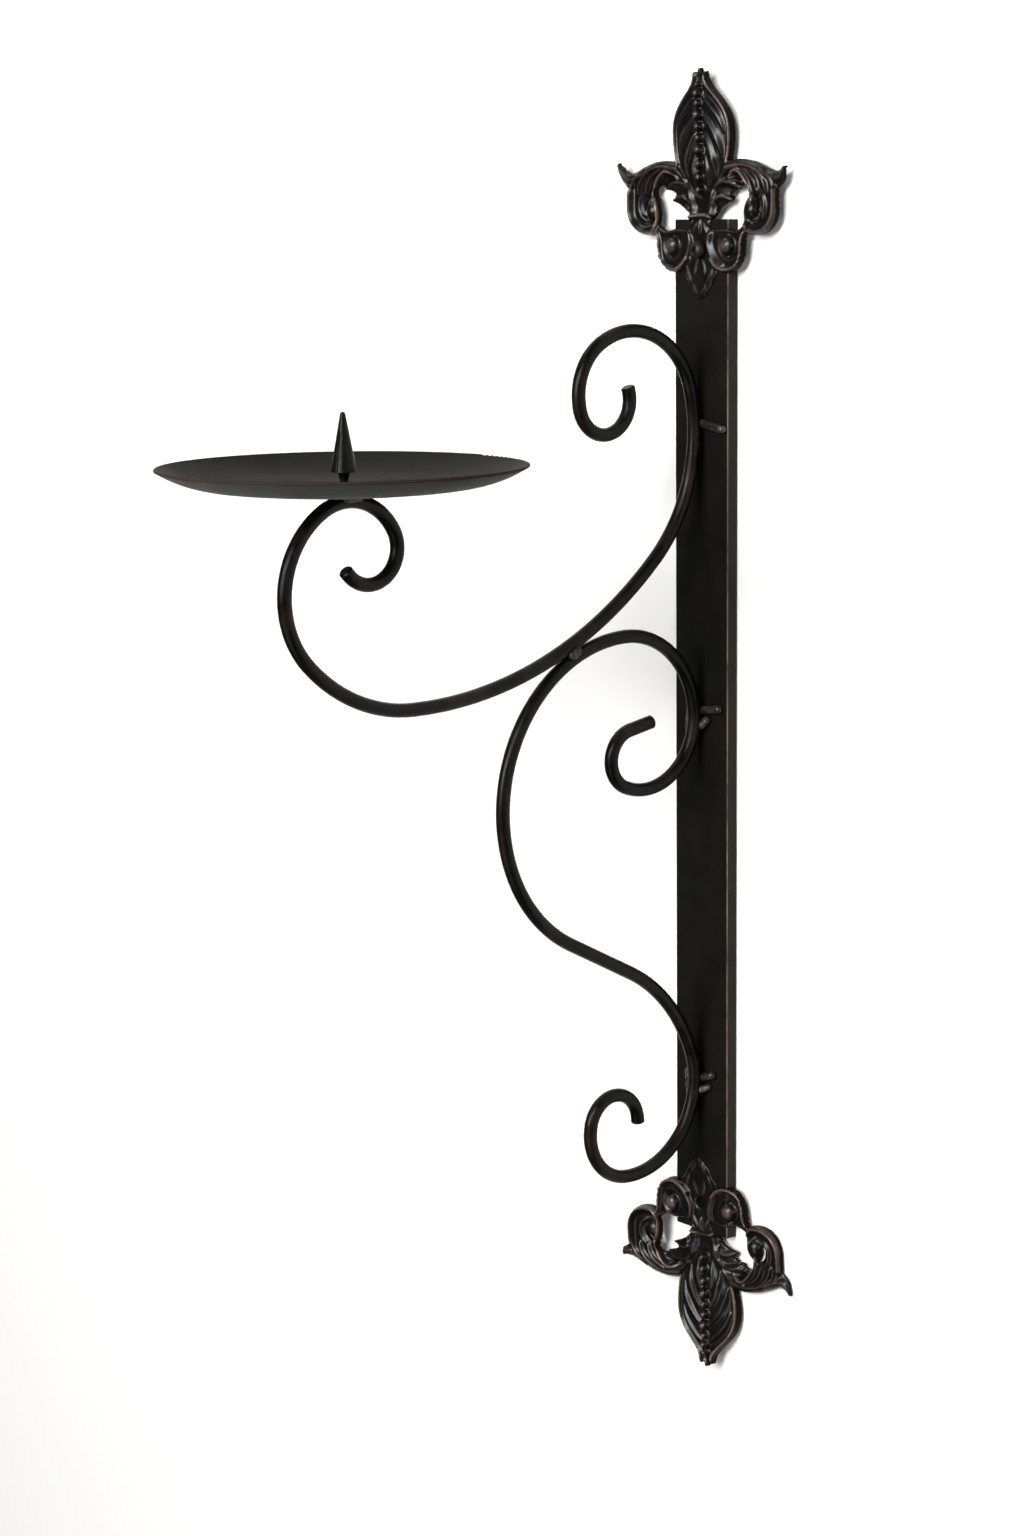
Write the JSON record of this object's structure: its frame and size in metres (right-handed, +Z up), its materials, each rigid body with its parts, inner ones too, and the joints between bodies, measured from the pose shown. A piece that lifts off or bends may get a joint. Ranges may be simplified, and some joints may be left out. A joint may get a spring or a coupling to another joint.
{
  "type": "wall candle holder",
  "caption": "Wall candle holder: flat back bar with pressed lily ornaments, a bracket of scrolled round bar, and a shallow round pan with a pointed candle spike.",
  "frame": {"origin": "on the wall plane, the back face of the back bar, halfway between the two wall screw holes", "axes": "X runs along the wall, positive to the right as seen from the room; -Y points from the wall into the room; Z is up"},
  "size_m": [0.2, 0.368, 0.7797],
  "materials": {
    "bar_paint": "satin dark iron paint, rubbed to copper brown along the worn edges",
    "lily_bronze": "glossy blackened bronze paint, rubbed to copper brown on the raised lines",
    "scroll_paint": "satin blackened bronze paint with faint brown rubbing",
    "weld_paint": "rough painted weld metal",
    "pan_paint": "satin taupe inside, grey underneath, dark brown along the rim",
    "spike_paint": "satin dark paint"
  },
  "bodies": {
    "root": {"back_bar": "bar_paint", "top_lily": "lily_bronze", "bottom_lily": "lily_bronze", "upper_scroll": "scroll_paint", "lower_scroll": "scroll_paint", "top_peg": "scroll_paint", "middle_peg": "scroll_paint", "bottom_peg": "scroll_paint", "middle_welds": "weld_paint", "bottom_welds": "weld_paint", "scroll_welds": "weld_paint", "pan_welds": "weld_paint", "lily_tacks": "weld_paint", "drip_pan": "pan_paint", "spike_post": "spike_paint", "candle_spike": "spike_paint"}
  },
  "joints": []
}
